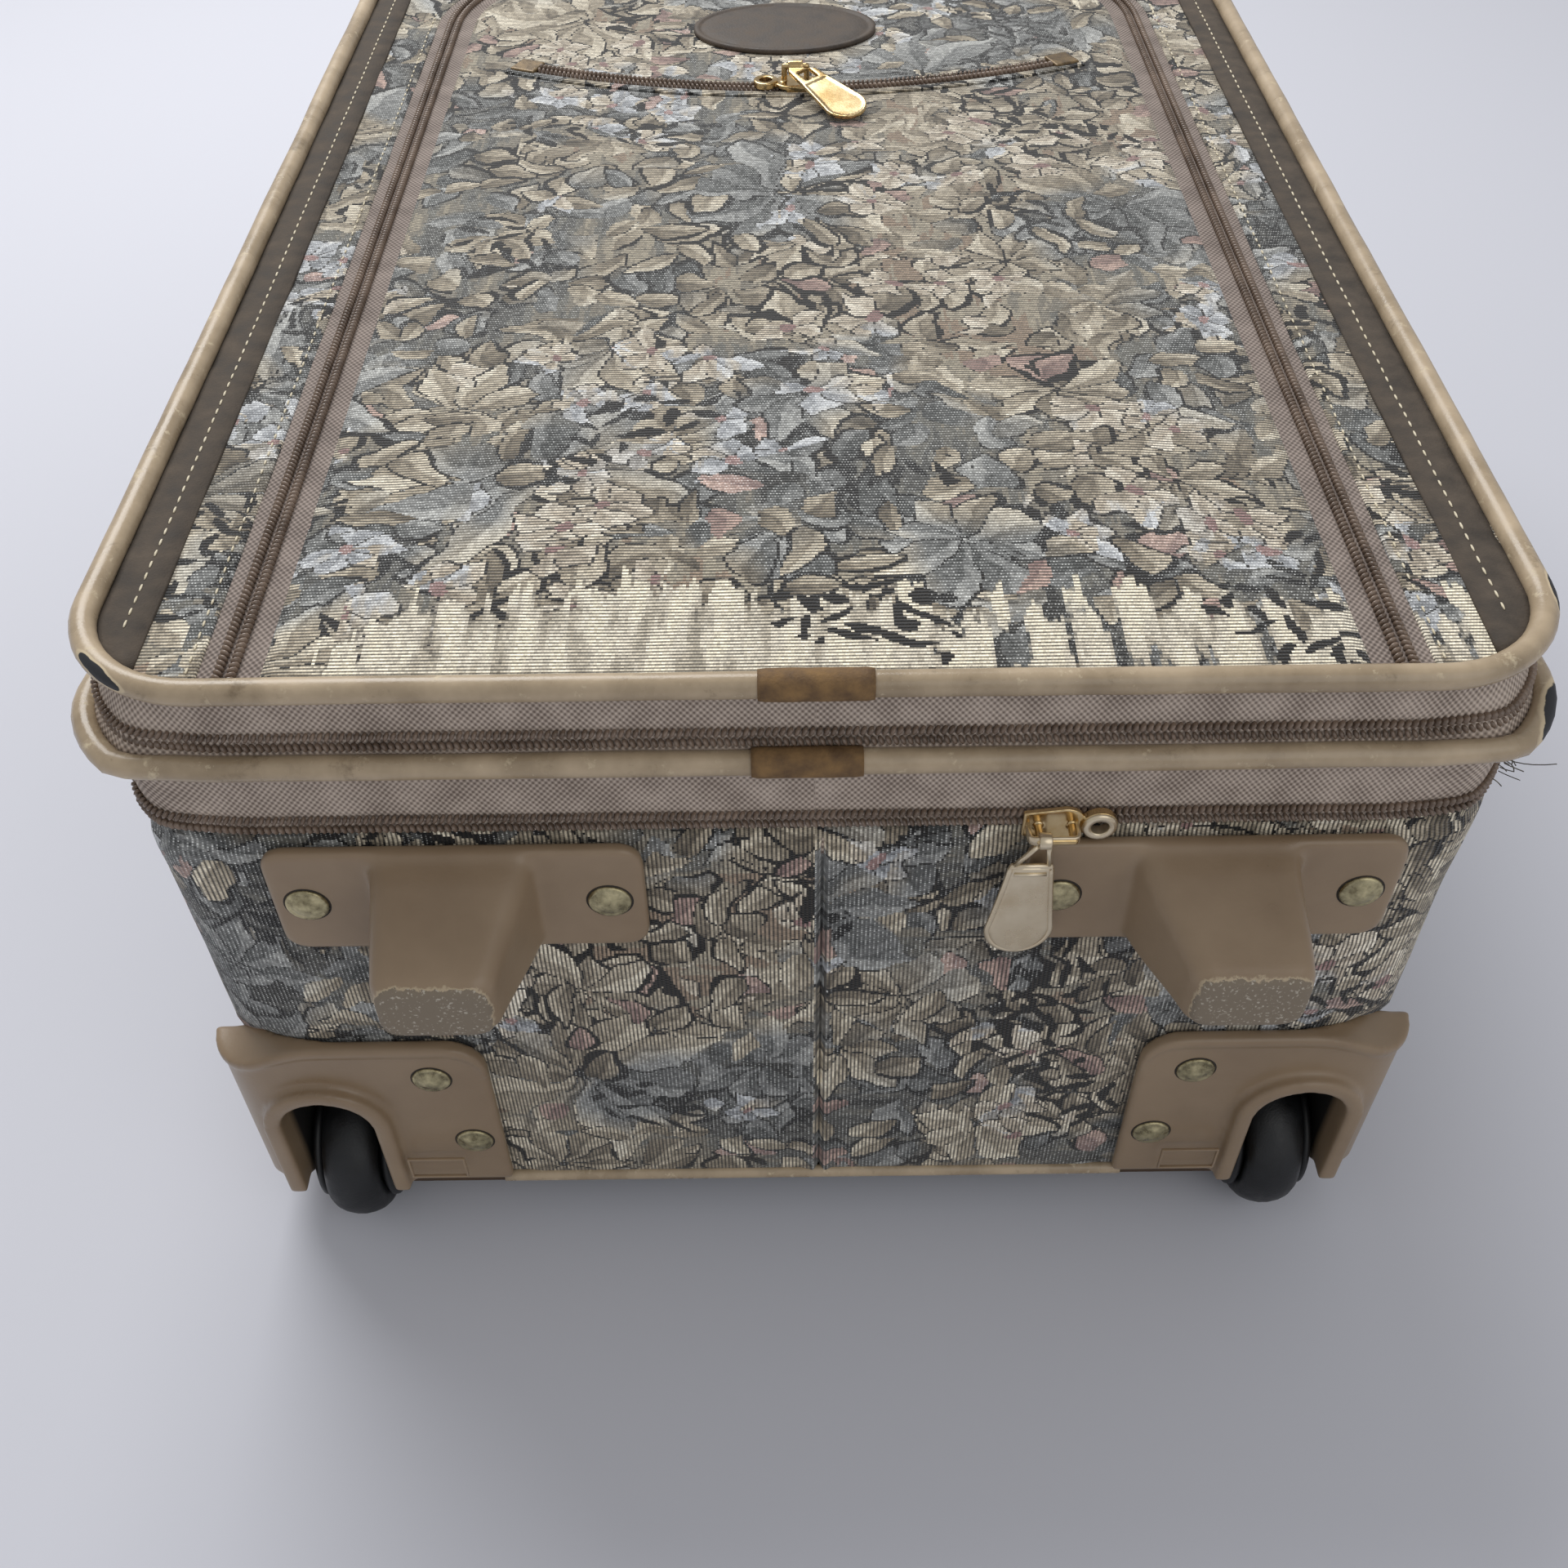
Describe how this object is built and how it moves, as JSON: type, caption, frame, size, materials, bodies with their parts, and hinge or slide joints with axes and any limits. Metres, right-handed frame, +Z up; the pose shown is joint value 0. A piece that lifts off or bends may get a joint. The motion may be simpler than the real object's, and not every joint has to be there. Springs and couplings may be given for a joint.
{
  "type": "upright suitcase",
  "caption": "Soft-sided tapestry upright suitcase on its back: zipped lid, tan piping, corner wheels, standing feet, pocket zips with pull tabs, pull handle.",
  "frame": {"origin": "middle of the part's footprint on the floor under the wheels, with the case lying on its back", "axes": "+X across the case, +Y from the wheel end to the handle end, +Z up out of the front panel"},
  "size_m": [0.3628, 0.5662, 0.2518],
  "materials": {
    "tapestry": "ribbed woven tapestry",
    "lining": "plain black lining cloth",
    "zip_tape": "taupe woven zip tape",
    "zip_coil": "bronze-brown coil",
    "piping_vinyl": "tan vinyl",
    "brown_vinyl": "dark brown vinyl",
    "patch_leather": "tan grained leather",
    "tan_plastic": "tan moulded plastic, worn",
    "black_plastic": "black moulded plastic",
    "wheel_rubber": "black rubber, scuffed",
    "brass": "dull brass",
    "gold_zip": "gold-plated zip hardware",
    "steel": "bright steel",
    "aluminium": "drawn aluminium tube",
    "board": "fibreboard"
  },
  "bodies": {
    "case": {"back_panel": "lining", "body_wall": "tapestry", "back_piping": "piping_vinyl", "lining_floor": "lining", "zip_tape_lower": "zip_tape", "zip_coil_lower": "zip_coil", "hinge_band": "brown_vinyl", "foot_left": "tan_plastic", "foot_right": "tan_plastic", "foot_rivets": "brass", "guard_left": "tan_plastic", "guard_right": "tan_plastic", "guard_rivets": "brass", "axle_left": "steel", "axle_right": "steel", "handle_cup": "black_plastic", "cup_rivets": "steel", "guide_tube_left": "aluminium", "guide_tube_right": "aluminium", "tube_bracket": "black_plastic", "carry_handle": "piping_vinyl", "carry_brackets": "brass", "carry_rivets": "brass"},
    "wheel_left": {"hub_left": "black_plastic", "tyre_left": "wheel_rubber"},
    "wheel_right": {"hub_right": "black_plastic", "tyre_right": "wheel_rubber"},
    "pull_handle": {"pull_tube_left": "aluminium", "pull_tube_right": "aluminium", "pull_grip": "black_plastic"},
    "lid": {"lid_board": "board", "lid_gusset": "zip_tape", "panel_border": "tapestry", "pocket_flap": "tapestry", "front_piping": "piping_vinyl", "front_splice": "patch_leather", "mid_piping": "piping_vinyl", "mid_splice": "patch_leather", "zip_tape_upper": "zip_tape", "zip_coil_upper": "zip_coil", "expander_tape": "zip_tape", "expander_coil": "zip_coil", "edge_band": "brown_vinyl", "pocket_tape": "zip_tape", "pocket_coil": "zip_coil", "slip_tape": "zip_tape", "slip_coil": "zip_coil", "slip_end_tabs": "brass", "oval_patch": "patch_leather"},
    "main_slider": {"main_slider": "gold_zip"},
    "main_tab": {"main_tab": "gold_zip"},
    "expander_slider": {"expander_slider": "gold_zip"},
    "expander_tab": {"expander_tab": "gold_zip"},
    "pocket_slider": {"pocket_slider": "gold_zip"},
    "pocket_tab": {"pocket_tab": "gold_zip"},
    "slip_slider": {"slip_slider": "gold_zip"},
    "slip_tab": {"slip_tab": "gold_zip"}
  },
  "joints": [
    {"name": "wheel_left_spin", "type": "hinge", "parent": "case", "child": "wheel_left", "pos_m": [-0.149, -0.22912, 0.0265], "axis": [1, 0, 0], "continuous": true},
    {"name": "wheel_right_spin", "type": "hinge", "parent": "case", "child": "wheel_right", "pos_m": [0.149, -0.22912, 0.0265], "axis": [1, 0, 0], "continuous": true},
    {"name": "lid_hinge", "type": "hinge", "parent": "case", "child": "lid", "pos_m": [-0.1756, 0, 0.195], "axis": [0, -1, 0], "range_deg": [0, 130]},
    {"name": "pull_handle_slide", "type": "slide", "parent": "case", "child": "pull_handle", "axis": [0, 1, 0], "range_m": [0, 0.4]},
    {"name": "main_zip_slide", "type": "slide", "parent": "case", "child": "main_slider", "axis": [1, 0, 0], "range_m": [-0.115, 0.015]},
    {"name": "main_tab_swing", "type": "hinge", "parent": "main_slider", "child": "main_tab", "pos_m": [0.06, -0.25357, 0.195], "axis": [-1, 0, 0], "range_deg": [0, 160]},
    {"name": "expander_zip_slide", "type": "slide", "parent": "lid", "child": "expander_slider", "axis": [1, 0, 0], "range_m": [-0.2, 0.03]},
    {"name": "expander_tab_swing", "type": "hinge", "parent": "expander_slider", "child": "expander_tab", "pos_m": [0.09, 0.26332, 0.226], "axis": [1, 0, 0], "range_deg": [0, 160]},
    {"name": "pocket_zip_slide", "type": "slide", "parent": "lid", "child": "pocket_slider", "axis": [1, 0, 0], "range_m": [-0.095, 0.01]},
    {"name": "pocket_tab_swing", "type": "hinge", "parent": "pocket_slider", "child": "pocket_tab", "pos_m": [0.04, 0.22687, 0.24965], "axis": [-1, 0, 0], "range_deg": [0, 150]},
    {"name": "slip_zip_turn", "type": "hinge", "parent": "lid", "child": "slip_slider", "pos_m": [0, 0.33987, 0.24045], "axis": [0, 0, 1], "range_deg": [-18.5, 18.5]},
    {"name": "slip_tab_swing", "type": "hinge", "parent": "slip_slider", "child": "slip_tab", "pos_m": [0, 0.08787, 0.24965], "axis": [-1, 0, 0], "range_deg": [0, 150]}
  ]
}
